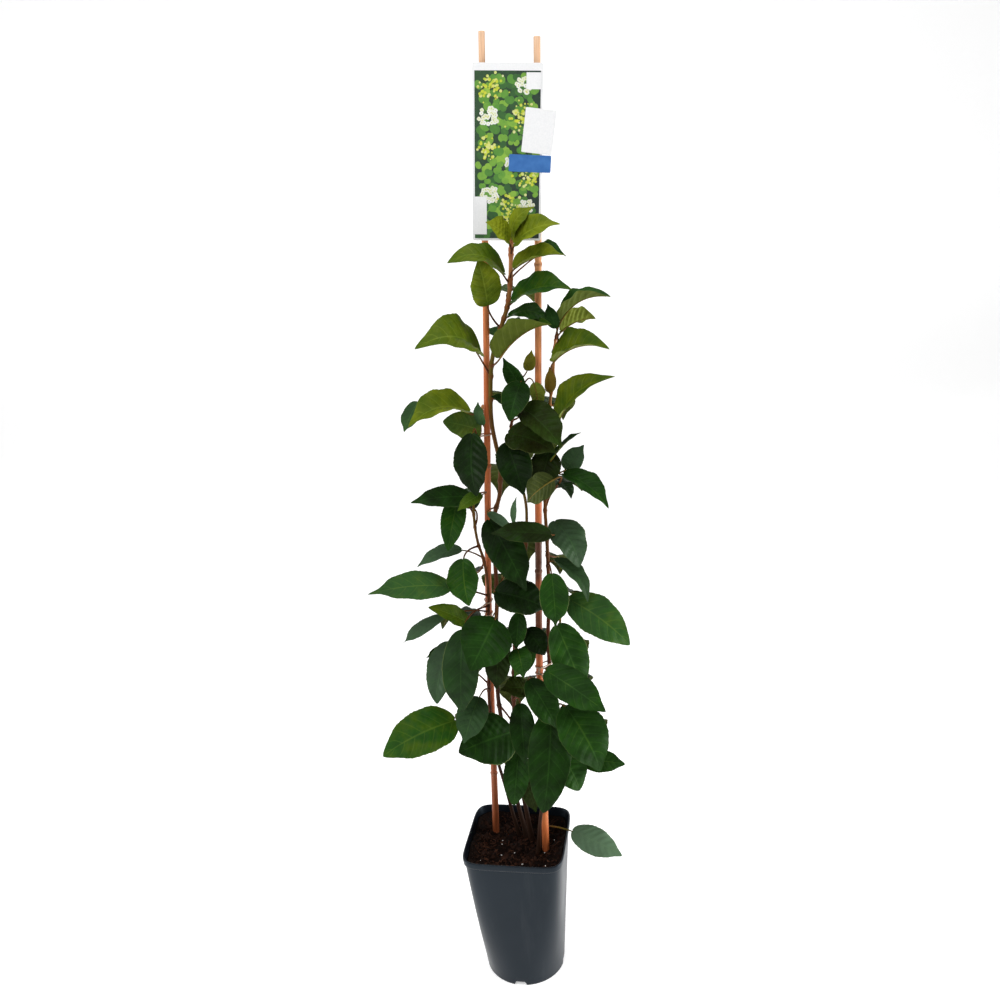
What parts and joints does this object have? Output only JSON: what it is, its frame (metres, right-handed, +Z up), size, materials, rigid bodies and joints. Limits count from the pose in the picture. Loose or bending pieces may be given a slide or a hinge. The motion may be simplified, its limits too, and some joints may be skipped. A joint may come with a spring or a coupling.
{
  "type": "potted climbing plant",
  "caption": "Young Japanese hydrangea vine: leafy stems tied to two bamboo canes in a square climber's pot, with a picture label across the cane tops.",
  "frame": {"origin": "centre of the pot's underside, on the surface it stands on", "axes": "+Z up; the plant's front looks along -Y, +X to its right"},
  "size_m": [0.2772, 0.1732, 1.0692],
  "materials": {
    "pot": "satin moulded polypropylene, anthracite",
    "soil": "moist peat and fine bark, matt",
    "cane": "dry orange-brown bamboo, satin",
    "leafy_stem": "leathery green leaves on reddish stems, soft sheen",
    "tie": "soft paper-covered wire, buff",
    "label": "printed card, satin",
    "tag_card": "plain white card",
    "tag_band": "plain blue card"
  },
  "bodies": {
    "root": {"pot": "pot", "soil": "soil", "cane_left": "cane", "cane_right": "cane", "vine_left": "leafy_stem", "vine_side": "leafy_stem", "vine_middle": "leafy_stem", "vine_right": "leafy_stem", "vine_low": "leafy_stem", "tie_left_high": "tie", "tie_left_low": "tie", "tie_left_middle": "tie", "tie_right_low": "tie", "tie_right_middle": "tie", "label": "label", "tag_card": "tag_card", "tag_band": "tag_band"}
  },
  "joints": []
}
